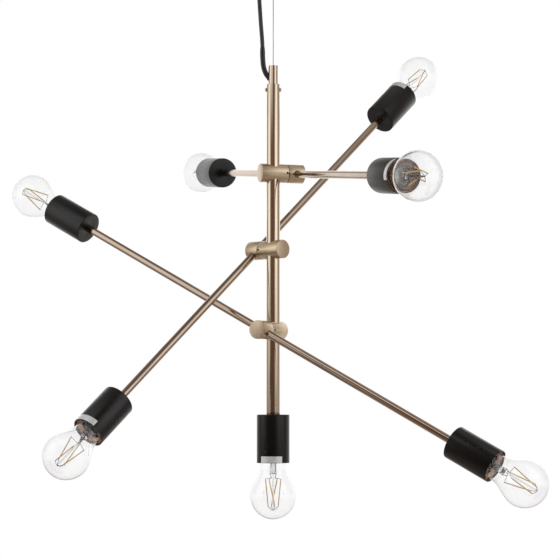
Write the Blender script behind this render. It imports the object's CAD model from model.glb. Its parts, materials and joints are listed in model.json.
"""Looks of a pendant ceiling light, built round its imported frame.

An upright stem hangs from a steel wire. Three swivel hubs carry arms with a lamp at both ends, and a
seventh lamp hangs under the stem. Sizes are in millimetres and degrees, and meshes are placed in metres.
"""

import json
import logging
import math
from collections.abc import Callable, Sequence
from dataclasses import dataclass
from enum import Enum

import bmesh
import bpy
from mathutils import Matrix, Vector

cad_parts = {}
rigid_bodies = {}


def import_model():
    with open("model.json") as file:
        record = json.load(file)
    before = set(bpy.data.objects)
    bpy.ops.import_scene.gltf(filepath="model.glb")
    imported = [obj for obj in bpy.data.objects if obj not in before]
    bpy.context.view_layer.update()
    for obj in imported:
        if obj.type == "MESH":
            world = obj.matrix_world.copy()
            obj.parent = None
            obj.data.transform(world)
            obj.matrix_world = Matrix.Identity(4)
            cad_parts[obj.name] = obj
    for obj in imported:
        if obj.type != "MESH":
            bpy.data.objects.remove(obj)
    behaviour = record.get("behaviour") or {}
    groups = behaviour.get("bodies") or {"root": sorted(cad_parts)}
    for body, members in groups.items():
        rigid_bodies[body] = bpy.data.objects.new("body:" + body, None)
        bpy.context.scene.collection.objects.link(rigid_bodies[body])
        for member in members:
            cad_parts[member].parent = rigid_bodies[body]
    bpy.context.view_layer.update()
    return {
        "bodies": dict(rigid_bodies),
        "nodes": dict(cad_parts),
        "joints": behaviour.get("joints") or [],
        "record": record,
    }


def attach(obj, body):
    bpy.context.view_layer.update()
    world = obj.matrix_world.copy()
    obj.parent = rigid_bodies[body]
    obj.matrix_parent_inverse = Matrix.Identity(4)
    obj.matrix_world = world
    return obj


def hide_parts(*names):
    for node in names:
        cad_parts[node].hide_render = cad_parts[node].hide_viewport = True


LOG = logging.getLogger("ceiling_light")
MM = 0.001
# Angle in degrees above which an edge stays sharp, or is one that soften() rounds
CREASE = 35.0
# Most of a noise texture's values lie between these two
NOISE_LOW, NOISE_HIGH = 0.35, 0.65
# Millimetres within which a corner lies on its piece's axis, and within which corners there are one
ON_AXIS, MERGED = 1e-5, 1e-4

Flat = tuple[float, float]
Outline = list[Flat]
Point = tuple[float, float, float]


def linear(hex_colour: str) -> tuple[float, float, float, float]:
    """Turns an sRGB hex colour into the linear colour that a shader takes.

    Args:
        hex_colour: A colour such as "#a98b63".

    Returns:
        Linear red, green and blue, and an alpha of 1.
    """
    parts = [int(hex_colour[i : i + 2], 16) / 255 for i in (1, 3, 5)]
    red, green, blue = (c / 12.92 if c <= 0.04045 else ((c + 0.055) / 1.055) ** 2.4 for c in parts)
    return red, green, blue, 1.0


def add_node(
    tree: bpy.types.NodeTree, kind: str, sockets: dict | None = None, **settings: object
) -> bpy.types.Node:
    """Adds a shader node with its settings, values and links.

    Args:
        tree: The node tree that gets the node.
        kind: The node's type name.
        sockets: Values or output sockets for the inputs, by name or index.
        **settings: Properties of the node itself.

    Returns:
        The new node.
    """
    made = tree.nodes.new(kind)
    for key, value in settings.items():
        setattr(made, key, value)
    for key, value in (sockets or {}).items():
        if isinstance(value, bpy.types.NodeSocket):
            tree.links.new(value, made.inputs[key])
        else:
            made.inputs[key].default_value = value
    return made


class Grain(Enum):
    """Which way the fine lines of a worked metal run, in the piece's own frame."""

    ALONG = (1.0, 1.0, 0.02)
    ROUND = (0.02, 0.02, 1.0)
    NONE = (1.0, 1.0, 1.0)


@dataclass(frozen=True)
class Finish:
    """A surface: one colour, a second one that it fades to, and the grain that its making left.

    The grain is noise stretched along or round the piece. Patches of the second colour come from a
    slower noise. Both change the roughness a little, and the grain also gives the bump. Real brush marks
    and lathe rings are a tenth of a millimetre or finer and wouldn't show, so a grain is drawn as coarse
    as it needs to show.
    """

    name: str
    slot: str
    colour: str
    aged: str
    metallic: float = 0.0
    roughness: float = 0.4
    roughness_spread: float = 0.06
    grain: Grain = Grain.NONE
    grain_mm: float = 0.6
    grain_share: float = 0.35
    patch_mm: float = 30.0
    patch_share: float = 0.5
    bump_mm: float = 0.01
    transmission: float = 0.0
    specular: float = 0.5
    ior: float = 1.5

    def material(self, place: Matrix | None = None) -> bpy.types.Material:
        """Makes the finish's material, or returns the one made before for the same place.

        Args:
            place: The piece's own frame, in millimetres, along which the grain runs.

        Returns:
            The material.
        """
        turn = (place or Matrix()).to_3x3().normalized().to_euler()
        origin = (place or Matrix()).translation * MM
        key = self.name
        if self.grain is not Grain.NONE and place is not None:
            angles = "_".join(f"{round(math.degrees(a))}" for a in turn)
            spot = "_".join(f"{round(a / MM)}" for a in origin)
            key = f"{key}_{angles}_at_{spot}"
        if key in bpy.data.materials:
            return bpy.data.materials[key]
        made = bpy.data.materials.new(key)
        made.use_nodes = True
        tree = made.node_tree
        shader = tree.nodes["Principled BSDF"]
        local = add_node(
            tree,
            "ShaderNodeMapping",
            {0: add_node(tree, "ShaderNodeTexCoord").outputs["Object"], "Location": origin, "Rotation": turn},
            vector_type="TEXTURE",
        ).outputs[0]
        self.paint(tree, shader, local)
        shader.inputs["Metallic"].default_value = self.metallic
        shader.inputs["IOR"].default_value = self.ior
        shader.inputs["Specular IOR Level"].default_value = self.specular
        shader.inputs["Transmission Weight"].default_value = self.transmission
        return made

    def paint(self, tree: bpy.types.NodeTree, shader: bpy.types.Node, local: bpy.types.NodeSocket) -> None:
        """Links colour, roughness and bump.

        Args:
            tree: The material's nodes.
            shader: The surface shader.
            local: Coordinates in the piece's own frame, in metres.
        """
        stretched = add_node(
            tree,
            "ShaderNodeMapping",
            {0: local, "Scale": [s / (self.grain_mm * MM) for s in self.grain.value]},
        ).outputs[0]
        grain = add_node(
            tree, "ShaderNodeTexNoise", {"Vector": stretched, "Scale": 1.0, "Detail": 3.0, "Roughness": 0.6}
        ).outputs["Fac"]
        patch = add_node(
            tree,
            "ShaderNodeTexNoise",
            {"Vector": local, "Scale": 1 / (self.patch_mm * MM), "Detail": 2.0, "Roughness": 0.5},
        ).outputs["Fac"]
        grained, patched = (
            add_node(
                tree,
                "ShaderNodeMapRange",
                {"Value": noise, "From Min": NOISE_LOW, "From Max": NOISE_HIGH, "To Min": 0.0, "To Max": most},
            ).outputs[0]
            for noise, most in ((grain, self.grain_share), (patch, self.patch_share))
        )
        share = add_node(
            tree, "ShaderNodeMath", {0: grained, 1: patched}, operation="ADD", use_clamp=True
        ).outputs[0]
        colour = add_node(
            tree, "ShaderNodeMix", {0: share, 6: linear(self.colour), 7: linear(self.aged)}, data_type="RGBA"
        ).outputs[2]
        spread = self.roughness_spread / 2
        rough = add_node(
            tree,
            "ShaderNodeMapRange",
            {"Value": share, "To Min": self.roughness - spread, "To Max": self.roughness + spread},
        ).outputs[0]
        bump = add_node(
            tree, "ShaderNodeBump", {"Height": grain, "Strength": 1.0, "Distance": self.bump_mm * MM}
        ).outputs[0]
        tree.links.new(colour, shader.inputs["Base Color"])
        tree.links.new(rough, shader.inputs["Roughness"])
        tree.links.new(bump, shader.inputs["Normal"])


# Antique brass tube: drawn, brushed lengthwise and darkened, so it mirrors softly and looks warm and pale
BRUSHED_BRASS = Finish(
    "brushed_antique_brass", "antique_brass", "#cbbdaa", "#c0ae98",
    metallic=1.0, roughness=0.17, roughness_spread=0.05, grain=Grain.ALONG, grain_mm=0.5,
    grain_share=0.25, patch_mm=45, patch_share=0.25, bump_mm=0.0006,
)
# Antique brass of the arm tubes: drawn like the stem, but aged to a deeper and redder brown
AGED_BRASS = Finish(
    "aged_antique_brass", "antique_brass", "#b0a091", "#9f8a79",
    metallic=1.0, roughness=0.13, roughness_spread=0.04, grain=Grain.ALONG, grain_mm=0.5,
    grain_share=0.25, patch_mm=45, patch_share=0.35, bump_mm=0.0006,
)
# Antique brass bar: turned on a lathe, so fine rings run round it and blur what it mirrors
TURNED_BRASS = Finish(
    "turned_antique_brass", "antique_brass", "#cbbba2", "#bca88b",
    metallic=1.0, roughness=0.37, roughness_spread=0.06, grain=Grain.ROUND, grain_mm=0.4,
    grain_share=0.3, patch_mm=14, patch_share=0.25, bump_mm=0.002,
)
# Darker brass of the coupler and other machined parts
DARK_BRASS = Finish(
    "machined_dark_brass", "dark_brass", "#93754f", "#6a4f34",
    metallic=1.0, roughness=0.26, grain=Grain.ALONG, grain_mm=0.8, patch_mm=20, bump_mm=0.004,
)
# Powder coat: satin black with the faint orange peel that powder leaves as it flows. It reflects a little
# less than most coatings, so that the holders stay as deep a black as the real ones.
POWDER_COAT = Finish(
    "satin_black_powder_coat", "black_shell", "#030405", "#06070a",
    roughness=0.34, roughness_spread=0.05, grain_mm=0.9, grain_share=0.3, patch_mm=18, patch_share=0.4,
    bump_mm=0.004, specular=0.38,
)
# Phenolic moulding inside the holders: dull black with a fine mineral speckle
PHENOLIC = Finish(
    "black_phenolic", "black_insulator", "#161514", "#24211f",
    roughness=0.6, grain_mm=0.5, grain_share=0.5, patch_mm=8, bump_mm=0.02,
)
# Rolled brass of the contacts: bare, copper coloured, with rings from the rolling
ROLLED_BRASS = Finish(
    "rolled_contact_brass", "contact_brass", "#cfab93", "#a07c64",
    metallic=1.0, roughness=0.45, grain=Grain.ROUND, grain_mm=0.9, patch_mm=7, bump_mm=0.02,
)
# Nickel plate on the lamp caps: pale and fairly bright, a little clouded by handling
NICKEL = Finish(
    "nickel_plate", "nickel_cap", "#cfccc6", "#a5a19a",
    metallic=1.0, roughness=0.22, grain=Grain.ROUND, grain_mm=0.8, patch_mm=6, bump_mm=0.006,
)
# Soft PVC jacket of the supply cable: black, slightly glossy and never quite smooth
CABLE_JACKET = Finish(
    "black_pvc_jacket", "black_cable", "#232324", "#303032",
    roughness=0.42, grain_mm=1.2, grain_share=0.4, patch_mm=12, bump_mm=0.03,
)
# Shrunk polyolefin sleeve: deeper black and smoother than the cable
SHRINK_SLEEVE = Finish(
    "black_shrink_sleeve", "black_cable", "#141415", "#1e1e20",
    roughness=0.34, grain_mm=1.5, grain_share=0.3, patch_mm=9, bump_mm=0.02,
)
# Black oxide on the grub screws and washers: dark, thin and a little oily
BLACK_OXIDE = Finish(
    "black_oxide_steel", "black_steel", "#1c1b1a", "#2b2927",
    metallic=0.8, roughness=0.42, grain_mm=0.6, patch_mm=5, bump_mm=0.008,
)
# Zinc plate on the bracket, nuts and screws: cool, pale and softly crystalline
ZINC = Finish(
    "zinc_plated_steel", "steel", "#c9ccd0", "#a9abae",
    metallic=1.0, roughness=0.3, grain_mm=1.4, grain_share=0.5, patch_mm=9, bump_mm=0.008,
)
# Nylon terminal block: off-white moulding with a dull skin
NYLON = Finish(
    "white_nylon", "white_plastic", "#dedad0", "#cbc6ba",
    roughness=0.5, grain_mm=0.8, grain_share=0.3, patch_mm=12, bump_mm=0.015,
)
# Clear soda-lime bulb: colourless glass, blown so smooth that only its edges show
BULB_GLASS = Finish(
    "clear_soda_lime_glass", "clear_glass", "#fefefe", "#fcfbfc",
    roughness=0.0, roughness_spread=0.0, grain_mm=9.0, grain_share=0.2, patch_mm=40, bump_mm=0.0,
    transmission=1.0, ior=1.5,
)
# Lead glass of the mount inside the bulb: clear, pressed flat round the wires. It bends light less than
# real lead glass, because a solid rod this thin would otherwise look darker than it does in the lamp.
MOUNT_GLASS = Finish(
    "clear_mount_glass", "filament_mount", "#f2f3f3", "#e6e9ea",
    roughness=0.02, roughness_spread=0.0, grain_mm=3.0, grain_share=0.3, patch_mm=10, bump_mm=0.0,
    transmission=1.0, ior=1.3,
)
# Phosphor strip of an unlit filament: amber silicone with a grainy skin
PHOSPHOR = Finish(
    "amber_phosphor", "filament_mount", "#efc987", "#e0b062",
    roughness=0.5, grain_mm=0.6, grain_share=0.5, patch_mm=6, bump_mm=0.01,
)
# Drawn nickel-iron wire of the leads: grey and dull
LEAD_WIRE = Finish(
    "drawn_lead_wire", "filament_mount", "#6f6d6b", "#565452",
    metallic=1.0, roughness=0.32, grain_mm=0.8, patch_mm=5, bump_mm=0.004,
)
# Aluminium foil strip: silver, thin, a little creased
FOIL = Finish(
    "aluminium_foil", "steel", "#dcdee0", "#c2c5c8",
    metallic=0.5, roughness=0.42, grain_mm=2.2, grain_share=0.5, patch_mm=6, bump_mm=0.05,
)


@dataclass(frozen=True)
class StrandedSteel(Finish):
    """Bright stranded wire rope: strands wound round the upright line through the origin."""

    strands: int = 7
    lay_mm: float = 9.0
    groove_mm: float = 0.12

    def paint(self, tree: bpy.types.NodeTree, shader: bpy.types.Node, local: bpy.types.NodeSocket) -> None:
        """Adds the winding to the plain steel as stripes that climb round the wire.

        Args:
            tree: The material's nodes.
            shader: The surface shader.
            local: Object coordinates, in metres.
        """
        super().paint(tree, shader, local)
        turn = add_node(tree, "ShaderNodeTexGradient", {0: local}, gradient_type="RADIAL").outputs["Fac"]
        height = add_node(tree, "ShaderNodeSeparateXYZ", {0: local}).outputs["Z"]
        wave = height
        for operation, values in (
            ("MULTIPLY_ADD", {1: 1 / (self.lay_mm * MM), 2: turn}),
            ("MULTIPLY", {1: math.tau * self.strands}),
            ("SINE", {}),
        ):
            wave = add_node(tree, "ShaderNodeMath", {0: wave, **values}, operation=operation).outputs[0]
        bump = add_node(
            tree, "ShaderNodeBump", {"Height": wave, "Strength": 1.0, "Distance": self.groove_mm * MM}
        ).outputs[0]
        tree.links.new(bump, shader.inputs["Normal"])


# Galvanised wire rope that holds the stem: pale steel, its strands just visible
WIRE_ROPE = StrandedSteel(
    "stranded_steel_wire", "steel", "#d6d7d8", "#b4b6b8",
    metallic=1.0, roughness=0.35, grain_mm=0.8, patch_mm=12,
)


def smooth_curve(a: Flat, b: Flat, c: Flat, d: Flat, steps: int) -> Outline:
    """Points on a curve that leaves a towards b and reaches d from c.

    Args:
        a: Its start.
        b: What it heads for at first.
        c: What it comes from at last.
        d: Its end.
        steps: How many stretches it has.

    Returns:
        The points, with both ends.
    """
    found = []
    for i in range(steps + 1):
        t = i / steps
        weights = ((1 - t) ** 3, 3 * t * (1 - t) ** 2, 3 * t * t * (1 - t), t**3)
        found.append(tuple(sum(w * corner[k] for w, corner in zip(weights, (a, b, c, d))) for k in (0, 1)))
    return found


def level_edge(height: float, beyond: float = 0.0, slack: float = 0.01) -> Callable[[bmesh.types.BMEdge], bool]:
    """Makes a test for the edges that lie at one height.

    Args:
        height: The height.
        beyond: Least distance from Z.
        slack: How far from the height a corner may be.

    Returns:
        The test.
    """
    return lambda edge: all(
        abs(corner.co.z - height) < slack and corner.co.xy.length >= beyond for corner in edge.verts
    )


class Workpiece:
    """A piece in the making, in millimetres, in a frame of its own with Z along its axis."""

    def __init__(self) -> None:
        """Starts with no shape."""
        self.bm = bmesh.new()

    def turn(self, outline: Outline, steps: int = 96, closed: bool = True) -> "Workpiece":
        """Turns an outline about Z.

        Args:
            outline: Points of radius and height, in order.
            steps: How many steps make the full turn.
            closed: Whether the last point joins the first.

        Returns:
            The workpiece.
        """
        start = [self.bm.verts.new((radius, 0, height)) for radius, height in outline]
        ring = start + start[:1] if closed else start
        lines = [self.bm.edges.new(pair) for pair in zip(ring, ring[1:]) if pair[0] is not pair[1]]
        bmesh.ops.spin(
            self.bm, geom=start + lines, cent=(0, 0, 0), axis=(0, 0, 1), angle=math.tau, steps=steps,
            use_merge=True,
        )
        on_axis = [v for v in self.bm.verts if math.hypot(v.co.x, v.co.y) < ON_AXIS]
        bmesh.ops.remove_doubles(self.bm, verts=on_axis, dist=MERGED)
        loose = [e for e in self.bm.edges if not e.link_faces]
        bmesh.ops.delete(self.bm, geom=loose, context="EDGES")
        bmesh.ops.recalc_face_normals(self.bm, faces=self.bm.faces[:])
        return self

    def bar(self, radius: float, low: float, high: float, steps: int = 128) -> "Workpiece":
        """Adds a solid round bar along Z.

        Args:
            radius: The bar's radius.
            low: Height of its lower end.
            high: Height of its upper end.
            steps: Number of sides.

        Returns:
            The workpiece.
        """
        bmesh.ops.create_cone(
            self.bm, cap_ends=True, segments=steps, radius1=radius, radius2=radius, depth=high - low,
            matrix=Matrix.Translation((0, 0, (low + high) / 2)),
        )
        return self

    def rod(self, start: Point, end: Point, diameter: float, sides: int = 12) -> "Workpiece":
        """Adds a straight round rod between two points.

        Args:
            start: One end.
            end: The other end.
            diameter: The rod's diameter.
            sides: Number of sides.

        Returns:
            The workpiece.
        """
        run = Vector(end) - Vector(start)
        middle = Matrix.Translation((Vector(start) + Vector(end)) / 2)
        bmesh.ops.create_cone(
            self.bm, cap_ends=True, segments=sides, radius1=diameter / 2, radius2=diameter / 2,
            depth=run.length, matrix=middle @ run.to_track_quat("Z", "Y").to_matrix().to_4x4(),
        )
        return self

    def block(self, size: Point, centre: Point) -> "Workpiece":
        """Adds an upright block.

        Args:
            size: Its lengths along X, Y and Z.
            centre: Its centre.

        Returns:
            The workpiece.
        """
        place = Matrix.Translation(centre) @ Matrix.Diagonal((*size, 1))
        bmesh.ops.create_cube(self.bm, size=1, matrix=place)
        return self

    def ball(self, centre: Point, diameter: float) -> "Workpiece":
        """Adds a small ball, such as a weld bead.

        Args:
            centre: Its centre.
            diameter: Its diameter.

        Returns:
            The workpiece.
        """
        place = Matrix.Translation(centre)
        bmesh.ops.create_icosphere(self.bm, subdivisions=2, radius=diameter / 2, matrix=place)
        return self

    def soften(
        self, width: float, where: Callable[[bmesh.types.BMEdge], bool] | None = None, segments: int = 3
    ) -> "Workpiece":
        """Rounds sharp edges.

        Args:
            width: Width of the rounding.
            where: Picks among the sharp edges, or None for all of them.
            segments: Steps in each rounding.

        Returns:
            The workpiece.
        """
        sharp = [
            e for e in self.bm.edges
            if len(e.link_faces) == 2 and e.calc_face_angle(0) > math.radians(CREASE)
        ]
        picked = [e for e in sharp if where is None or where(e)]
        bmesh.ops.bevel(
            self.bm, geom=picked, offset=width, offset_type="OFFSET", segments=segments, profile=0.5,
            affect="EDGES", clamp_overlap=True, material=-1,
        )
        return self

    def moved(self, place: Matrix) -> "Workpiece":
        """Moves what is there so far.

        Args:
            place: The move, in millimetres.

        Returns:
            The workpiece.
        """
        bmesh.ops.transform(self.bm, matrix=place, verts=self.bm.verts[:])
        return self

    def mesh(self, name: str, place: Matrix | None = None, crease: float = CREASE) -> bpy.types.Mesh:
        """Turns the workpiece into a mesh in the part's frame, in metres.

        Args:
            name: Name of the mesh.
            place: The workpiece's frame, in millimetres, or None for the part's own.
            crease: Angle above which an edge stays sharp.

        Returns:
            The mesh.
        """
        bmesh.ops.transform(self.bm, matrix=Matrix.Scale(MM, 4) @ (place or Matrix()), verts=self.bm.verts[:])
        made = bpy.data.meshes.new(name)
        self.bm.to_mesh(made)
        self.bm.free()
        made.shade_smooth()
        made.set_sharp_from_angle(angle=math.radians(crease))
        return made


def drilled(mesh: bpy.types.Mesh, drills: Sequence[bpy.types.Mesh]) -> bpy.types.Mesh:
    """Cuts holes into a mesh.

    Args:
        mesh: The mesh to cut.
        drills: Closed meshes whose inside is taken away.

    Returns:
        The cut mesh. The ones given are removed.
    """
    body = bpy.data.objects.new("blank", mesh)
    bpy.context.scene.collection.objects.link(body)
    tools = []
    for number, drill in enumerate(drills):
        tool = bpy.data.objects.new(f"drill_{number}", drill)
        bpy.context.scene.collection.objects.link(tool)
        cut = body.modifiers.new(f"cut_{number}", "BOOLEAN")
        cut.object, cut.operation, cut.solver = tool, "DIFFERENCE", "EXACT"
        tools.append(tool)
    bpy.context.view_layer.update()
    made = bpy.data.meshes.new_from_object(body.evaluated_get(bpy.context.evaluated_depsgraph_get()))
    made.name = mesh.name
    for thing in [body, *tools]:
        data = thing.data
        bpy.data.objects.remove(thing)
        bpy.data.meshes.remove(data)
    made.shade_smooth()
    made.set_sharp_from_angle(angle=math.radians(CREASE))
    return made


def carry(mesh: bpy.types.Mesh, *frames: Matrix) -> None:
    """Moves a mesh in metres by frames in millimetres.

    Args:
        mesh: The mesh.
        *frames: The frames, from the outermost to the mesh's own.
    """
    place = Matrix.Scale(MM, 4)
    for frame in frames:
        place = place @ frame
    mesh.transform(place @ Matrix.Scale(1 / MM, 4))


def dress(thing: bpy.types.Object, finish: Finish, place: Matrix | None = None) -> None:
    """Gives a CAD node or a new piece its finish.

    Args:
        thing: The object.
        finish: Its finish.
        place: The object's own frame, for the finish's grain.
    """
    thing.data.materials.clear()
    thing.data.materials.append(finish.material(place))


def add_piece(
    name: str,
    mesh: bpy.types.Mesh | bpy.types.Curve,
    finish: Finish,
    body: str,
    nodes: Sequence[str] = (),
    place: Matrix | None = None,
) -> bpy.types.Object:
    """Makes a finished piece that rides on a body.

    Args:
        name: Name of the piece.
        mesh: Its mesh or curve, in the part's frame.
        finish: Its finish.
        body: The body that carries it.
        nodes: CAD nodes that it stands for.
        place: The piece's own frame, for the finish's grain.

    Returns:
        The piece.
    """
    piece = bpy.data.objects.new(name, mesh)
    bpy.context.scene.collection.objects.link(piece)
    dress(piece, finish, place)
    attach(piece, body)
    if nodes:
        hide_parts(*nodes)
    LOG.info("%s rides on %s", name, body)
    return piece


def screw_pair(
    name: str, screw: Callable[[], bpy.types.Mesh], height: float, finish: Finish, node: str
) -> None:
    """Makes two like screws that face away from each other across the stem's axis, as one piece.

    Args:
        name: Name of the piece.
        screw: Makes one screw, with Z outwards from the axis.
        height: Height of the screws.
        finish: Their finish.
        node: The CAD node that they stand for.
    """
    pair = Workpiece()
    for side in (0, 180):
        one = screw()
        one.transform(Matrix.Scale(1 / MM, 4))
        start = len(pair.bm.verts)
        pair.bm.from_mesh(one)
        pair.bm.verts.ensure_lookup_table()
        place = (
            Matrix.Rotation(math.radians(side), 4, "Z")
            @ Matrix.Translation((0, 0, height))
            @ Matrix.Rotation(math.pi / 2, 4, "Y")
        )
        bmesh.ops.transform(pair.bm, matrix=place, verts=pair.bm.verts[start:])
        bpy.data.meshes.remove(one)
    add_piece(name, pair.mesh(name), finish, "stem", [node], Matrix())


@dataclass(frozen=True)
class Layout:
    """Frames of the hubs, arms and lamps, worked out from the joints and from how the arms are tilted."""

    arm_tilts: tuple[float, float, float] = (6.0, -39.5, -27.5)
    arm_x: float = 30.25
    arm_half: float = 312.0
    stem_end: float = -595.0

    def hub(self, joint: dict) -> Matrix:
        """A hub's frame: X from the stem to the head, Z up.

        Args:
            joint: The arm's joint in the frame.

        Returns:
            The frame, in millimetres.
        """
        yaw = math.atan2(joint["axis"][1], joint["axis"][0])
        return Matrix.Translation(Vector(joint["pos_m"]) / MM) @ Matrix.Rotation(yaw, 4, "Z")

    def arm(self, joint: dict, number: int) -> Matrix:
        """An arm's frame: the origin is the middle of its tube, and Y runs along it to its first end.

        Args:
            joint: The arm's joint in the frame.
            number: 0, 1 or 2, from the top.

        Returns:
            The frame, in millimetres.
        """
        tilt = Matrix.Rotation(math.radians(self.arm_tilts[number]), 4, "X")
        return self.hub(joint) @ Matrix.Translation((self.arm_x, 0, 0)) @ tilt

    def lamp(self, joint: dict | None, number: int, end: int) -> Matrix:
        """A lamp's frame: Z runs outwards from the closed end of its holder.

        Args:
            joint: The arm's joint, or None for the lamp under the stem.
            number: The arm, 0, 1 or 2.
            end: 0 for the arm's first end, 1 for the other.

        Returns:
            The frame, in millimetres.
        """
        if joint is None:
            return Matrix.Translation((0, 0, self.stem_end)) @ Matrix.Rotation(math.pi, 4, "X")
        out = Matrix.Rotation(math.radians(90 if end else -90), 4, "X")
        return self.arm(joint, number) @ out @ Matrix.Translation((0, 0, self.arm_half))


@dataclass
class Suspension:
    """The steel wire, the supply cable and its sleeve, between the canopy and the stem.

    The sleeve starts at the share sleeve_start of its diameter, and is full after the share sleeve_taper
    of its length.
    """

    wire_d: float = 1.2
    cable_d: float = 5.5
    sleeve_d: float = 6.8
    wire_route: tuple[Point, ...] = ((0, 0, -30), (0, 0, -134.05))
    cable_route: tuple[Point, ...] = (
        (-18.8, 0, -33), (-18.5, 0, -44), (-17.5, 0, -60), (-16.3, 0, -78), (-15, 0, -94), (-14.3, 0, -107),
        (-14, 0, -121), (-12.8, 0, -133.5), (-9.9, 0, -142.1), (-6.5, 0, -147.1), (-4.2, 0, -150.5),
    )
    sleeve_route: tuple[Point, ...] = (*cable_route[5:10], (-4.5, 0, -150.07))
    sleeve_start: float = 0.86
    sleeve_taper: float = 0.08

    def curve_points(self, route: Sequence[Point], steps: int) -> list[Vector]:
        """Runs a smooth curve through a route.

        Args:
            route: The route's points.
            steps: Points for each stretch of the curve.

        Returns:
            Points on the curve, in metres.
        """
        points = [Vector(p) for p in route]
        padded = [points[0], *points, points[-1]]
        found = []
        for before, a, b, after in zip(padded, padded[1:], padded[2:], padded[3:]):
            for s in range(steps):
                t = s / steps
                found.append(
                    0.5 * (2 * a + (b - before) * t + (2 * before - 5 * a + 4 * b - after) * t**2
                           + (3 * a - before - 3 * b + after) * t**3)
                )
        return [p * MM for p in [*found, points[-1]]]

    def swept(
        self,
        name: str,
        points: Sequence[Vector],
        diameter: float,
        swell: Callable[[float], float] = lambda share: 1.0,
    ) -> bpy.types.Curve:
        """Makes a round cord along points.

        Args:
            name: Name of the curve.
            points: Points in metres.
            diameter: The cord's diameter.
            swell: Share of the diameter at a share of the length.

        Returns:
            The curve.
        """
        curve = bpy.data.curves.new(name, "CURVE")
        curve.dimensions = "3D"
        curve.bevel_depth = diameter / 2 * MM
        curve.bevel_resolution = 6
        curve.use_fill_caps = True
        line = curve.splines.new("POLY")
        line.points.add(len(points) - 1)
        for number, point in enumerate(points):
            line.points[number].co = (*point, 1)
            line.points[number].radius = swell(number / (len(points) - 1))
        line.use_smooth = True
        return curve

    def build(self) -> None:
        wire_points = [Vector(p) * MM for p in self.wire_route]
        rope = self.swept("suspension_wire_rope", wire_points, self.wire_d)
        wire = add_piece("suspension_wire_rope", rope, WIRE_ROPE, "stem", ["suspension_wire"])
        points = self.curve_points(self.cable_route, 3)
        jacket = self.swept("supply_cable_jacket", points, self.cable_d)
        cable = add_piece("supply_cable_jacket", jacket, CABLE_JACKET, "stem", ["supply_cable"])
        tube = self.swept(
            "cable_shrink_sleeve", self.curve_points(self.sleeve_route, 4), self.sleeve_d,
            lambda share: self.sleeve_start + (1 - self.sleeve_start) * min(1, share / self.sleeve_taper),
        )
        sleeve = add_piece("cable_shrink_sleeve", tube, SHRINK_SLEEVE, "stem", ["cable_sleeve"])


@dataclass
class CeilingFixing:
    """The canopy cup with its side screws, the gripper and the gland."""

    canopy_r: float = 50.0
    depth: float = 28.0
    wall: float = 1.2
    edge_r: float = 4.0
    screw_z: float = -8.0
    screw_head_r: float = 4.0
    gland_x: float = -18.8

    def canopy(self) -> None:
        """Makes the spun cup."""
        r, d, w = self.canopy_r, self.depth, self.wall
        cup = Workpiece().turn(
            [(0, -d), (r, -d), (r, 0), (r - w, 0), (r - w, w - d), (0, w - d)], 128, closed=False
        )
        cup.soften(self.edge_r, level_edge(-d), 8)
        cup.soften(self.edge_r - w, level_edge(w - d), 6)
        cup.soften(0.25)
        add_piece("spun_canopy", cup.mesh("spun_canopy"), TURNED_BRASS, "stem", ["canopy"], Matrix())

    def side_screw(self) -> bpy.types.Mesh:
        """Makes one of the canopy's domed screws, with a driver slot.

        Returns:
            The screw, with Z outwards from the stem's axis.
        """
        r, head = self.canopy_r, self.screw_head_r
        blank = Workpiece().turn(
            [(0, r - 5), (2, r - 5), (2, r), (head, r), (head, r + 1.1), (0.62 * head, r + 2.4), (0, r + 2.9)],
            48, closed=False,
        )
        blank.soften(0.5)
        slot = Workpiece().bar(3 * head, -0.5, 0.5, 32).moved(
            Matrix.Translation((0, 0, r + 3 + 3 * head - 1)) @ Matrix.Rotation(math.pi / 2, 4, "X")
        )
        return drilled(blank.mesh("screw"), [slot.mesh("slot")])

    def gripper(self) -> None:
        """Makes the wire gripper with its collar, groove and cone end."""
        grip = Workpiece().turn(
            [(0.9, -0.3), (3.5, -0.3), (4, -0.8), (4, -28), (5.5, -28), (6, -28.5), (6, -31), (5.6, -31.3),
             (5.6, -32), (6, -32.3), (6, -36), (5.4, -36.6), (3, -41), (0.9, -41)], 64,
        )
        grip.soften(0.2)
        add_piece("gripper_body", grip.mesh("gripper_body"), NICKEL, "stem", ["wire_gripper"], Matrix())

    def gland(self) -> None:
        """Makes the cable gland with its flange and tapered nose."""
        nose = Workpiece().turn(
            [(2.95, 8), (4.5, 8), (5, 7.5), (5, 0), (7, 0), (7, -2), (6.5, -2.5), (5.5, -2.5), (5.3, -6.5),
             (4, -9), (2.95, -9)], 64,
        )
        nose.soften(0.3)
        place = Matrix.Translation((self.gland_x, 0, -self.depth))
        add_piece("gland_nose", nose.mesh("gland_nose", place), PHENOLIC, "stem", ["cable_gland"], place)

    def build(self, nodes: dict[str, bpy.types.Object]) -> None:
        """Makes every piece at the ceiling.

        Args:
            nodes: The CAD nodes.
        """
        self.canopy()
        screw_pair("canopy_side_screws", self.side_screw, self.screw_z, TURNED_BRASS, "canopy_screws")
        self.gripper()
        self.gland()
        dress(nodes["ceiling_bracket"], ZINC)
        dress(nodes["canopy_nuts"], ZINC)
        dress(nodes["terminal_block"], NYLON)


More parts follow.
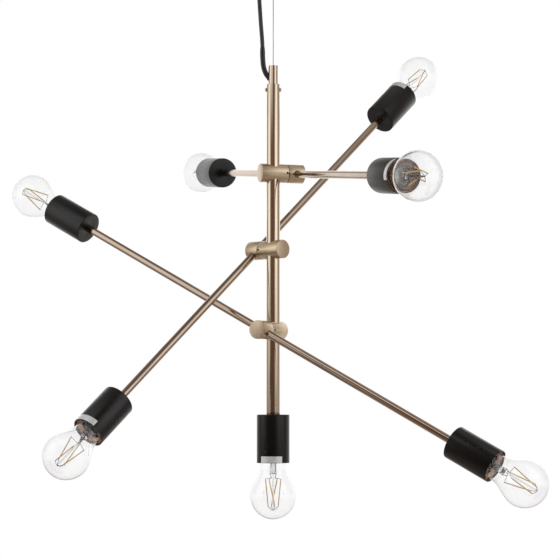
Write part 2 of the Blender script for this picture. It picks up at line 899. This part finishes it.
@dataclass
class Stem:
    """The upright tube with its coupler on top."""

    top: float = -157.0
    end: float = -595.0
    radius: float = 9.0
    wall: float = 1.5
    coupler_r: float = 6.5
    coupler_top: float = -132.0
    coupler_wall: float = 1.5
    coupler_cap: float = 2.0
    plug_len: float = 18.0
    plug_fit: float = 0.02
    wire_hole_r: float = 0.9
    cable_hole_r: float = 3.55
    cable_drop: float = 15.1
    cable_angle: float = 34.0
    screw_z: float = -164.0
    screw_head_r: float = 2.7

    def build(self, nodes: dict[str, bpy.types.Object]) -> None:
        """Makes the tube, the coupler and its two screws.

        Args:
            nodes: The CAD nodes.
        """
        r, w = self.radius, self.wall
        tube = Workpiece().turn([(r, self.end), (r, self.top), (r - w, self.top), (r - w, self.end)], 128)
        tube.soften(0.35)
        brushed = tube.mesh("stem_brushed_tube")
        add_piece("stem_brushed_tube", brushed, BRUSHED_BRASS, "stem", ["stem_tube"], Matrix())
        add_piece("coupler_sleeve", self.coupler(), BRUSHED_BRASS, "stem", ["coupler_tube"], Matrix())
        screw_pair("coupler_domed_screws", self.coupler_screw, self.screw_z, NICKEL, "coupler_screws")
        dress(nodes["wire_stop"], ZINC)
        dress(nodes["stem_end_bush"], DARK_BRASS, Matrix())

    def coupler(self) -> bpy.types.Mesh:
        """Makes the coupler: a capped tube with a plug into the stem and a slanted hole for the cable.

        Returns:
            The coupler.
        """
        c, top, low = self.coupler_r, self.coupler_top, self.top - self.plug_len
        plug, bore = self.radius - self.wall - self.plug_fit, c - self.coupler_wall
        blank = Workpiece().turn(
            [(self.wire_hole_r, top), (c, top), (c, self.top), (plug, self.top), (plug, low), (bore, low),
             (bore, top - self.coupler_cap), (self.wire_hole_r, top - self.coupler_cap)], 96,
        )
        blank.soften(0.4)
        entry = Workpiece().bar(self.cable_hole_r, -12, 5, 48).moved(
            Matrix.Translation((-c, 0, top - self.cable_drop))
            @ Matrix.Rotation(math.radians(180 - self.cable_angle), 4, "Y")
        )
        return drilled(blank.mesh("coupler_sleeve"), [entry.mesh("entry")])

    def coupler_screw(self) -> bpy.types.Mesh:
        """Makes one of the domed screws at the stem's top edge, with a cross recess.

        Returns:
            The screw, with Z outwards from the stem's axis.
        """
        r, head = self.radius, self.screw_head_r
        blank = Workpiece().turn(
            [(0, r - 3), (1.5, r - 3), (1.5, r), (head, r), (head, r + 0.4), (0.9 * head, r + 1.2),
             (0.6 * head, r + 1.85), (0, r + 2.2)], 40, closed=False,
        )
        cross = [
            Workpiece().rod((-1.5, 0, r + 2.3), (1.5, 0, r + 2.3), 1.0, 4),
            Workpiece().rod((0, -1.5, r + 2.3), (0, 1.5, r + 2.3), 1.0, 4),
        ]
        return drilled(blank.mesh("screw"), [c.mesh("recess") for c in cross])


@dataclass
class SwivelHub:
    """A hub on the stem: a fixed bar, a friction washer, a grub screw and the swivel head."""

    number: int
    frame: Matrix
    tilt: float
    grub_side: int
    radius: float = 12.25
    half_len: float = 18.6
    washer_t: float = 0.5
    head_x: float = 19.15
    head_end: float = 41.35
    arm_x: float = 30.25
    grub_x: float = 16.1
    grub_r: float = 1.45
    grub_hole_r: float = 1.55
    grub_foot: float = 6.0
    grub_sink: float = 0.7
    socket_r: float = 0.87
    socket_foot: float = 2.2
    washer_inset: float = 0.6
    pivot_hole_r: float = 5.05
    stem_r: float = 9.0
    arm_r: float = 5.0
    gap: float = 0.12
    drill: float = 20.0
    edge: float = 0.45

    @property
    def axis_frame(self) -> Matrix:
        """The frame of the hub's bar, with Z along it."""
        return self.frame @ Matrix.Rotation(math.pi / 2, 4, "Y")

    def body(self) -> None:
        """Makes the fixed bar, crossed by the stem and drilled for the grub screw."""
        bar = Workpiece().bar(self.radius, -self.half_len, self.half_len, 160).soften(self.edge)
        crosswise = Matrix.Rotation(math.pi / 2, 4, "Y")
        stem_hole = Workpiece().bar(self.stem_r + self.gap, -self.drill, self.drill, 96).moved(crosswise)
        sideways = Matrix.Rotation(math.radians(-90 * self.grub_side), 4, "X")
        side = Matrix.Translation((0, 0, self.grub_x)) @ sideways
        grub_hole = Workpiece().bar(self.grub_hole_r, self.grub_foot, 14, 32).moved(side)
        mesh = drilled(bar.mesh("bar"), [stem_hole.mesh("stem_hole"), grub_hole.mesh("grub_hole")])
        carry(mesh, self.axis_frame)
        name = f"hub_{self.number}_fixed_bar"
        add_piece(name, mesh, TURNED_BRASS, "stem", [f"hub_{self.number}_body"], self.axis_frame)
        grub = Workpiece().bar(self.grub_r, self.grub_foot, self.radius - self.grub_sink, 32).soften(0.15)
        socket = Workpiece().bar(self.socket_r, self.radius - self.socket_foot, self.radius, 6)
        screw = drilled(grub.mesh("grub"), [socket.mesh("socket")])
        carry(screw, self.axis_frame, side)
        add_piece(f"hub_{self.number}_grub_screw", screw, BLACK_OXIDE, "stem", ["hub_grub_screws"])
        inner, outer = self.pivot_hole_r, self.radius - self.washer_inset
        near, far = self.half_len, self.half_len + self.washer_t
        washer = Workpiece().turn([(inner, near), (outer, near), (outer, far), (inner, far)], 96)
        mesh = washer.mesh("washer", self.axis_frame)
        add_piece(f"hub_{self.number}_washer", mesh, BLACK_OXIDE, "stem", ["hub_washers"])

    def head(self) -> None:
        """Makes the swivel head with its cross bore for the arm."""
        bar = Workpiece().bar(self.radius, self.head_x, self.head_end, 160).soften(self.edge)
        across = (
            Matrix.Translation((0, 0, self.arm_x))
            @ Matrix.Rotation(math.radians(self.tilt), 4, "Z")
            @ Matrix.Rotation(math.pi / 2, 4, "X")
        )
        bore = Workpiece().bar(self.arm_r + self.gap, -self.drill, self.drill, 96).moved(across)
        mesh = drilled(bar.mesh("bar"), [bore.mesh("bore")])
        carry(mesh, self.axis_frame)
        name, nodes = f"hub_{self.number}_swivel_head", [f"hub_{self.number}_head"]
        add_piece(name, mesh, TURNED_BRASS, f"arm_{self.number}", nodes, self.axis_frame)

    def build(self, nodes: dict[str, bpy.types.Object]) -> None:
        """Makes the hub.

        Args:
            nodes: The CAD nodes.
        """
        self.body()
        self.head()
        dress(nodes[f"hub_{self.number}_pivot"], DARK_BRASS, self.axis_frame)


@dataclass
class ArmTube:
    """A straight tube through a swivel head."""

    number: int
    frame: Matrix
    half_len: float = 324.0
    radius: float = 5.0
    wall: float = 1.0

    def build(self) -> None:
        """Makes the tube."""
        along = self.frame @ Matrix.Rotation(-math.pi / 2, 4, "X")
        r, w, h = self.radius, self.wall, self.half_len
        tube = Workpiece().turn([(r, -h), (r, h), (r - w, h), (r - w, -h)], 96)
        body = f"arm_{self.number}"
        name = f"{body}_brushed_tube"
        add_piece(name, tube.mesh(name, along), AGED_BRASS, body, [f"{body}_tube"], along)


@dataclass
class LampPoint:
    """A lamp holder with its lamp, and the blank foil strip that some holders have at their rim.

    Heights are counted from the holder's closed end.
    """

    number: int
    body: str
    frame: Matrix
    roll: float
    label_turn: float | None = None
    shell_r: float = 21.5
    shell_len: float = 63.5
    shell_wall: float = 1.2
    shell_edge: float = 0.9
    arm_r: float = 5.0
    seat: float = 32.0
    lamp_len: float = 106.0
    glass_r: float = 30.0
    throat_r: float = 17.0
    throat_len: float = 8.5
    dome_rise: float = 0.5
    glass_wall: float = 0.8
    cap_len: float = 26.3
    cap_sheet: float = 0.3
    thread_start: float = 4.5
    thread_r: float = 12.6
    thread_amp: float = 0.4
    pitch: float = 3.6
    turns: int = 5
    mount_len: float = 14.5
    press_size: Point = (9.2, 2.6, 6.0)
    rod_rise: float = 5.0
    slant: float = 47.0
    cap_end_drop: float = 52.7
    cap_end_r: float = 11.5
    tip_end_drop: float = 16.7
    tip_end_r: float = 7.0
    lead_d: float = 0.8
    support_d: float = 0.6
    bead_d: float = 1.1
    filament_d: float = 1.4
    filament_end_d: float = 0.9
    strip_inset: float = 0.05
    end_share: float = 0.06
    label_len: float = 30.0
    label_h: float = 8.5
    label_t: float = 0.12

    @property
    def tip(self) -> float:
        """Height of the lamp's contact."""
        return self.shell_len - self.seat

    @property
    def thread_low(self) -> float:
        """Height of the thread's inner end."""
        return self.tip + self.thread_start

    @property
    def thread_high(self) -> float:
        """Height of the thread's outer end."""
        return self.thread_low + self.turns * self.pitch

    @property
    def collar(self) -> float:
        """Height of the lamp cap's outer edge."""
        return self.tip + self.cap_len

    @property
    def neck_r(self) -> float:
        """Radius of the glass neck."""
        return self.thread_r + self.thread_amp - self.cap_sheet

    @property
    def lamp_end(self) -> float:
        """Height of the lamp's glass tip."""
        return self.tip + self.lamp_len

    @property
    def glass_mid(self) -> float:
        """Height at which the glass is widest."""
        return self.lamp_end - self.glass_r - self.dome_rise

    @property
    def press_top(self) -> float:
        """Height of the top of the mount's press."""
        return self.shell_len + self.mount_len

    @property
    def rod_tip(self) -> float:
        """Height of the tip of the mount's glass rod."""
        return self.lamp_end - self.tip_end_drop + self.rod_rise

    def node(self, kind: str) -> str:
        """Name of a CAD node that this lamp point shares with the others on its body.

        Args:
            kind: What the node holds.

        Returns:
            The node's name.
        """
        return f"{self.body}_{kind}"

    def named(self, what: str) -> str:
        """Name of one of this lamp point's pieces.

        Args:
            what: What the piece is.

        Returns:
            The piece's name.
        """
        return f"lamp_{self.number}_{what}"

    def rolled(self, radius: float) -> Outline:
        """Outline of a rolled thread.

        Args:
            radius: Its mean radius.

        Returns:
            Points that swell once in each pitch.
        """
        return [
            (radius - self.thread_amp * math.cos(math.tau * i / 8), self.thread_low + i * self.pitch / 8)
            for i in range(8 * self.turns + 1)
        ]

    def shell(self) -> None:
        """Makes the holder's shell: a cup with a rounded closed end and a turned-in rim."""
        r, w, h, hole = self.shell_r, self.shell_wall, self.shell_len, self.arm_r + 0.1
        cup = Workpiece().turn(
            [(hole, 0), (r, 0), (r, h), (r - w + 0.2, h), (r - w, h - 0.4), (r - w, w), (hole, w)], 128
        )
        cup.soften(self.shell_edge, level_edge(0, r - 0.1), 6)
        cup.soften(0.3)
        mesh = cup.mesh("shell", self.frame)
        add_piece(self.named("holder_shell"), mesh, POWDER_COAT, self.body, [self.named("shell")])

    def contacts(self) -> None:
        """Makes the threaded shell with its flared mouth, and the centre contact."""
        gap, sheet = 0.25, 0.4
        flare, lip = self.thread_high + 1, self.shell_len - 1
        mouth = self.shell_r - self.shell_wall - 0.3
        throat = self.thread_r + self.thread_amp + 0.6
        inner = self.rolled(self.thread_r + gap)
        outer = self.rolled(self.thread_r + gap + sheet)
        sleeve = Workpiece().turn(
            [*inner, (throat, flare), (mouth - sheet, lip - 2), (mouth - sheet, lip), (mouth, lip),
             (mouth, lip - 2.2), (throat + sheet, flare - 0.2), *reversed(outer)], 96,
        )
        mesh, nodes = sleeve.mesh("contact", self.frame), [self.node("socket_contacts")]
        add_piece(self.named("threaded_contact"), mesh, ROLLED_BRASS, self.body, nodes, self.frame)
        centre = Workpiece().bar(6, self.tip - 6, self.tip - 0.05, 48).soften(0.5)
        mesh = centre.mesh("centre", self.frame)
        add_piece(self.named("centre_contact"), mesh, ROLLED_BRASS, self.body, (), self.frame)

    def cap(self) -> None:
        """Makes the lamp's screw cap."""
        r, low, high = self.thread_r, self.thread_low, self.thread_high
        collar_r = self.thread_r + self.thread_amp + self.cap_sheet
        cap = Workpiece().turn(
            [(0, self.tip), (4.6, self.tip), (4.8, self.tip + 0.8), (r - 2, low - 0.8), *self.rolled(r),
             (collar_r, high + 0.8), (collar_r, self.collar), (self.neck_r + 0.15, self.collar),
             (self.neck_r + 0.15, high + 0.4), (r - 1, high - 0.6), (r - 1, low + 1.5), (0, low + 1.5)],
            96, closed=False,
        )
        nodes = [self.node("lamp_cap" if self.body == "stem" else "lamp_caps")]
        add_piece(self.named("screw_cap"), cap.mesh("cap", self.frame), NICKEL, self.body, nodes, self.frame)

    def glass_side(self, inset: float) -> Outline:
        """Half outline of the glass, from its neck to its tip.

        Args:
            inset: How far it is drawn in from the outer face.

        Returns:
            The outline.
        """
        r, neck, throat = self.glass_r - inset, self.neck_r - inset, self.throat_r - inset
        low, high = self.collar, self.shell_len
        swell = smooth_curve((neck, low), (neck, low + 2.3), (throat, high - 2.8), (throat, high), 14)
        low, high = self.shell_len + self.throat_len, self.glass_mid
        rise = high - low
        shoulder = smooth_curve(
            (throat, low), (throat, low + 0.2 * rise), (r, high - 0.37 * rise), (r, high), 24
        )
        crown = self.glass_r + self.dome_rise - inset
        dome = [
            (r * math.cos(math.radians(a)), high + crown * math.sin(math.radians(a))) for a in range(4, 90, 4)
        ]
        return [(neck, self.thread_high + 0.6), *swell, *shoulder, *dome, (0, high + crown)]

    def glass(self) -> None:
        """Makes the blown bulb with its true wall."""
        outline = self.glass_side(0) + self.glass_side(self.glass_wall)[::-1]
        bulb = Workpiece().turn(outline, 128)
        mesh = bulb.mesh("bulb", self.frame, 60)
        add_piece(self.named("bulb"), mesh, BULB_GLASS, self.body, [self.named("glass")])

    def mount(self, place: Matrix) -> None:
        """Makes the mount's glass: a flared stem, pressed flat round the leads, and a rod up to the filaments.

        Args:
            place: The mount's frame, turned as the lamp sits in its holder.
        """
        low, high, tip = self.collar, self.press_top, self.rod_tip
        stem = Workpiece().turn(
            [(10.7, low - 1), (11.5, low - 1), (6.4, low + 3.5), (4.4, low + 8), (4.4, high - 6),
             (3.4, high - 3.5), (1.6, high - 0.5), (1.1, high + 1.5), (1.0, tip - 2), (0.9, tip),
             (0, tip + 0.4), (0, high - 7), (3.6, high - 7), (3.6, low + 8), (5.6, low + 3.5)], 48,
        )
        mesh, nodes = stem.mesh("mount", place), [self.node("filaments")]
        add_piece(self.named("mount_stem"), mesh, MOUNT_GLASS, self.body, nodes)
        middle = (0, 0, high - self.press_size[2] / 2)
        press = Workpiece().block(self.press_size, middle).soften(1.2, segments=4)
        add_piece(self.named("mount_press"), press.mesh("press", place), MOUNT_GLASS, self.body)

    def filaments(self, place: Matrix) -> None:
        """Makes the leads through the mount, the four filaments and the wires that hold them.

        Each filament runs from an end near the cap to an end near the tip of the glass.

        Args:
            place: The mount's frame.
        """
        wires, strips, ends = Workpiece(), Workpiece(), Workpiece()
        upper, lower = self.lamp_end - self.cap_end_drop, self.lamp_end - self.tip_end_drop
        bar, tip = self.press_top - 0.4, self.rod_tip
        fork = (2.6, 0, upper - 1.5)
        for side in (-1, 1):
            corners = ((2.4, self.collar + 1), (2.7, self.shell_len), (4.6, bar), (fork[0], fork[2]))
            lead = [(side * x, 0, z) for x, z in corners]
            for start, end, thick in zip(lead, lead[1:], (0.7, self.lead_d, self.lead_d)):
                wires.rod(start, end, thick)
            wires.ball(lead[-1], 1.2)
        wires.rod((-4.8, 0, bar), (4.8, 0, bar), 0.9)
        for k in range(4):
            turn, back = math.radians(90 * k), math.radians(90 * k - self.slant)
            top = (self.cap_end_r * math.cos(turn), self.cap_end_r * math.sin(turn), upper)
            foot = (self.tip_end_r * math.cos(back), self.tip_end_r * math.sin(back), lower)
            near = (fork[0] if k in (0, 3) else -fork[0], 0, fork[2])
            knee = (0.4 * foot[0], 0.4 * foot[1], tip - 1.5)
            for start, end in ((near, top), (foot, knee), (knee, (0, 0, tip - 0.5))):
                wires.rod(start, end, self.support_d)
            for spot in (top, foot):
                wires.ball(spot, self.bead_d)
            run = Vector(foot) - Vector(top)
            inset, clasp = self.strip_inset * run, self.end_share * run
            strips.rod(tuple(Vector(top) + inset), tuple(Vector(foot) - inset), self.filament_d, 16)
            ends.rod(top, tuple(Vector(top) + clasp), self.filament_end_d)
            ends.rod(tuple(Vector(foot) - clasp), foot, self.filament_end_d)
        for what, work, finish in (
            ("mount_wires", wires, LEAD_WIRE),
            ("filaments", strips, PHOSPHOR),
            ("filament_ends", ends, LEAD_WIRE),
        ):
            add_piece(self.named(what), work.mesh(what, place), finish, self.body)

    def label(self) -> None:
        """Makes the blank foil strip, stuck round part of the shell at its rim."""
        low, high = self.shell_len - self.label_h - 0.4, self.shell_len - 0.4
        near = self.shell_r + 0.02
        far = near + self.label_t
        span = self.label_len / self.shell_r
        strip = Workpiece()
        corners = [(near, 0, low), (far, 0, low), (far, 0, high), (near, 0, high)]
        face = strip.bm.faces.new([strip.bm.verts.new(c) for c in corners])
        bmesh.ops.spin(
            strip.bm, geom=[face, *face.edges, *face.verts], cent=(0, 0, 0), axis=(0, 0, 1), angle=span,
            steps=24, use_merge=False,
        )
        bmesh.ops.recalc_face_normals(strip.bm, faces=strip.bm.faces[:])
        place = self.frame @ Matrix.Rotation(math.radians(self.label_turn) - span / 2, 4, "Z")
        add_piece(self.named("foil_strip"), strip.mesh("strip", place), FOIL, self.body, (), self.frame)

    def build(self) -> None:
        """Makes the holder and its lamp."""
        self.shell()
        self.contacts()
        self.cap()
        self.glass()
        place = self.frame @ Matrix.Rotation(math.radians(self.roll), 4, "Z")
        self.mount(place)
        self.filaments(place)
        if self.label_turn is not None:
            self.label()


Ring = tuple[tuple[float, str], ...]

# The studio that the brass mirrors, described by hand at four heights: a warm dark side towards the camera,
# a bright window to its left and one to its right, and a pale back. Each stop is an azimuth in degrees from
# the camera's side towards +X, and the colour there.
RINGS: dict[str, Ring] = {
    "top": ((-140, "#74706c"), (24, "#625c58"), (60, "#a09890"), (140, "#a8a09a")),
    "high": (
        (-140, "#7c7672"), (-100, "#a8a09a"), (-80, "#c8c4c0"), (-66, "#f6f4f2"), (-18, "#f6f4f2"),
        (-4, "#5c4c44"), (34, "#5c4c44"), (46, "#f6f4f2"), (62, "#f6f4f2"), (76, "#a8a09a"),
        (90, "#8a7c76"), (140, "#7c7672"),
    ),
    "level": (
        (-138, "#f4f4f4"), (-126, "#8c847e"), (-108, "#8c847e"), (-92, "#d8d4d0"), (-84, "#fafafa"),
        (-60, "#fafafa"), (-44, "#614c3e"), (22, "#614c3e"), (36, "#ffffff"), (70, "#ffffff"),
        (84, "#857a72"), (104, "#857a72"), (120, "#b4aca4"), (138, "#f0f0f0"),
    ),
    "low": (
        (-140, "#989490"), (-104, "#7c7068"), (-68, "#6c625c"), (-46, "#4e3c32"), (22, "#4e3c32"),
        (40, "#9c9894"), (66, "#9c9894"), (100, "#8a7e76"), (118, "#a59d96"), (140, "#c4c0bc"),
    ),
}
# Elevations, seen from the tent's middle, from which and up to which each ring gives way to the next one up
RISING: dict[str, Flat] = {"level": (-28.0, 4.0), "high": (22.0, 38.0), "top": (46.0, 66.0)}
# Elevations from which and down to which the low ring gives way to the colour straight below
SINKING: Flat = (-34.0, -54.0)
NADIR = "#8f8176"


@dataclass
class Studio:
    """The camera, the soft boxes, the tent that only mirrors see, the floor and the white background.

    Its places and sizes are in metres.
    """

    camera_at: Point = (0.0090, -2.842, -0.5762)
    camera_pitch: float = 93.2
    lens: float = 138.3
    floor_z: float = -1.7
    floor_half: float = 5.0
    world_fill: float = 0.55
    tent_at: Point = (0, 0, -0.35)
    tent_r: float = 1.25
    tent_strength: float = 1.65
    box_azimuth: float = 64.0
    box_distance: float = 3.0
    box_z: float = 0.1
    box_width: float = 2.4
    box_height: float = 3.4
    box_radiance: float = 1.5
    box_aim: Point = (0, 0, -0.4)

    def camera(self) -> None:
        """Sets the photograph's view."""
        made = bpy.data.cameras.new("view")
        made.lens = self.lens
        made.sensor_width = 36.0
        made.clip_end = 50.0
        holder = bpy.data.objects.new("view", made)
        holder.location = self.camera_at
        holder.rotation_euler = (math.radians(self.camera_pitch), 0, 0)
        bpy.context.scene.collection.objects.link(holder)
        bpy.context.scene.camera = holder

    def world(self) -> None:
        """Makes the background white where it is seen, mirrored or looked at through glass."""
        world = bpy.data.worlds.new("studio")
        world.use_nodes = True
        bpy.context.scene.world = world
        tree = world.node_tree
        tree.nodes.clear()
        rays = add_node(tree, "ShaderNodeLightPath").outputs
        seen = rays["Is Camera Ray"]
        for ray in ("Is Glossy Ray", "Is Transmission Ray"):
            seen = add_node(tree, "ShaderNodeMath", {0: seen, 1: rays[ray]}, operation="MAXIMUM").outputs[0]
        strength = add_node(
            tree, "ShaderNodeMath", {0: rays["Is Diffuse Ray"], 1: self.world_fill, 2: seen},
            operation="MULTIPLY_ADD",
        ).outputs[0]
        light = add_node(tree, "ShaderNodeBackground", {"Color": (1, 1, 1, 1), "Strength": strength})
        add_node(tree, "ShaderNodeOutputWorld", {0: light.outputs[0]})

    def soft_box(self, name: str, azimuth: float) -> None:
        """Adds a soft box that faces the light's middle, and that the camera, mirrors and glass don't show.

        Args:
            name: Its name.
            azimuth: Degrees from the camera's side, towards +X.
        """
        turn, away, width, height = math.radians(azimuth), self.box_distance, self.box_width, self.box_height
        made = bpy.data.lights.new(name, "AREA")
        made.shape, made.size, made.size_y = "RECTANGLE", width, height
        made.energy = self.box_radiance * math.pi * width * height
        holder = bpy.data.objects.new(name, made)
        holder.location = (away * math.sin(turn), -away * math.cos(turn), self.box_z)
        aim = Vector(self.box_aim) - holder.location
        holder.rotation_euler = aim.to_track_quat("-Z", "Z").to_euler()
        holder.visible_camera = holder.visible_glossy = holder.visible_transmission = False
        bpy.context.scene.collection.objects.link(holder)

    def ring(
        self, tree: bpy.types.NodeTree, azimuth: bpy.types.NodeSocket, stops: Ring
    ) -> bpy.types.NodeSocket:
        """Paints the studio as it looks all round at one height.

        Args:
            tree: The tent's nodes.
            azimuth: Degrees from the camera's side, towards +X.
            stops: Azimuths with the colours there.

        Returns:
            The colour.
        """
        share = add_node(tree, "ShaderNodeMapRange", {"Value": azimuth, "From Min": -180.0, "From Max": 180.0})
        ramp = add_node(tree, "ShaderNodeValToRGB", {0: share.outputs[0]})
        stages = ramp.color_ramp.elements
        while len(stages) < len(stops):
            stages.new(1.0)
        for stage, (angle, colour) in zip(stages, stops):
            stage.position = (angle + 180) / 360
            stage.color = linear(colour)
        return ramp.outputs[0]

    def tent(self) -> None:
        """Makes the round tent, coloured by the rings, that only mirrors see."""
        work = bmesh.new()
        bmesh.ops.create_uvsphere(work, u_segments=96, v_segments=48, radius=self.tent_r)
        bmesh.ops.reverse_faces(work, faces=work.faces[:])
        mesh = bpy.data.meshes.new("tent")
        work.to_mesh(mesh)
        work.free()
        cloth = bpy.data.materials.new("tent_cloth")
        cloth.use_nodes = True
        # The tent lights nothing, so no light is sampled from it
        cloth.cycles.emission_sampling = "NONE"
        tree = cloth.node_tree
        tree.nodes.clear()
        spot = add_node(tree, "ShaderNodeTexCoord").outputs["Object"]
        at = add_node(tree, "ShaderNodeSeparateXYZ", {0: spot}).outputs
        forward = add_node(tree, "ShaderNodeMath", {0: at["Y"], 1: -1.0}, operation="MULTIPLY").outputs[0]
        turn = add_node(tree, "ShaderNodeMath", {0: at["X"], 1: forward}, operation="ARCTAN2").outputs[0]
        azimuth = add_node(tree, "ShaderNodeMath", {0: turn}, operation="DEGREES").outputs[0]
        rise = add_node(tree, "ShaderNodeMath", {0: at["Z"], 1: self.tent_r}, operation="DIVIDE").outputs[0]
        lift = add_node(tree, "ShaderNodeMath", {0: rise}, operation="ARCSINE").outputs[0]
        height = add_node(tree, "ShaderNodeMath", {0: lift}, operation="DEGREES").outputs[0]
        colour = self.ring(tree, azimuth, RINGS["low"])
        bands = [(*span, self.ring(tree, azimuth, RINGS[name])) for name, span in RISING.items()]
        for near, far, beyond in (*bands, (*SINKING, linear(NADIR))):
            share = add_node(
                tree, "ShaderNodeMapRange", {"Value": height, "From Min": near, "From Max": far}
            ).outputs[0]
            colour = add_node(
                tree, "ShaderNodeMix", {0: share, 6: colour, 7: beyond}, data_type="RGBA"
            ).outputs[2]
        # Mirrors behind glass show plain white, like the background
        depth = add_node(tree, "ShaderNodeLightPath").outputs["Transmission Depth"]
        inside = add_node(tree, "ShaderNodeMath", {0: depth, 1: 0.5}, operation="GREATER_THAN").outputs[0]
        white = [1 / self.tent_strength] * 3 + [1.0]
        colour = add_node(tree, "ShaderNodeMix", {0: inside, 6: colour, 7: white}, data_type="RGBA").outputs[2]
        glow = add_node(tree, "ShaderNodeEmission", {"Color": colour, "Strength": self.tent_strength})
        add_node(tree, "ShaderNodeOutputMaterial", {0: glow.outputs[0]})
        mesh.materials.append(cloth)
        tent = bpy.data.objects.new("tent", mesh)
        tent.location = self.tent_at
        bpy.context.scene.collection.objects.link(tent)
        tent.visible_camera = tent.visible_diffuse = tent.visible_transmission = tent.visible_shadow = False

    def floor(self) -> None:
        """Makes the pale floor, far below, which keeps the light's shadow."""
        work = bmesh.new()
        bmesh.ops.create_grid(work, x_segments=1, y_segments=1, size=self.floor_half)
        mesh = bpy.data.meshes.new("floor")
        work.to_mesh(mesh)
        work.free()
        pale = bpy.data.materials.new("pale_floor")
        pale.use_nodes = True
        shader = pale.node_tree.nodes["Principled BSDF"]
        shader.inputs["Base Color"].default_value = linear("#f2f1ef")
        shader.inputs["Roughness"].default_value = 0.9
        mesh.materials.append(pale)
        floor = bpy.data.objects.new("floor", mesh)
        floor.location = (0, 0, self.floor_z)
        bpy.context.scene.collection.objects.link(floor)
        floor.visible_glossy = False

    def build(self) -> None:
        """Sets up the studio."""
        self.camera()
        self.world()
        self.tent()
        self.floor()
        self.soft_box("left_box", -self.box_azimuth)
        self.soft_box("right_box", self.box_azimuth)
        bpy.context.scene.view_settings.view_transform = "Standard"


# Side of each hub on which its grub screw sits
GRUB_SIDES = (-1, 1, 1)
# Turn of each lamp in its holder, in degrees, and of the foil strip on each holder that has one
LAMP_ROLLS = (40, 75, 20, 100, 65, 10, 28)
LABEL_TURNS = {1: 155.0, 2: 250.0, 3: 100.0, 6: 97.0}


def main() -> None:
    """Builds the studio and every sub-assembly."""
    logging.basicConfig(level=logging.INFO, format="%(name)s: %(message)s")
    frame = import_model()
    Studio().build()
    Suspension().build()
    nodes, layout = frame["nodes"], Layout()
    CeilingFixing().build(nodes)
    Stem().build(nodes)
    joints = sorted(frame["joints"], key=lambda j: j["name"])
    for n, joint in enumerate(joints):
        SwivelHub(n + 1, layout.hub(joint), layout.arm_tilts[n], GRUB_SIDES[n]).build(nodes)
        ArmTube(n + 1, layout.arm(joint, n)).build()
        dress(nodes[f"arm_{n + 1}_holder_inserts"], PHENOLIC)
    dress(nodes["stem_holder_insert"], PHENOLIC)
    for k, roll in enumerate(LAMP_ROLLS):
        arm, end = divmod(k, 2)
        on_arm = arm < len(joints)
        place = layout.lamp(joints[arm] if on_arm else None, arm, end)
        body = f"arm_{arm + 1}" if on_arm else "stem"
        LampPoint(k + 1, body, place, roll, LABEL_TURNS.get(k)).build()


if __name__ == "__main__":
    main()
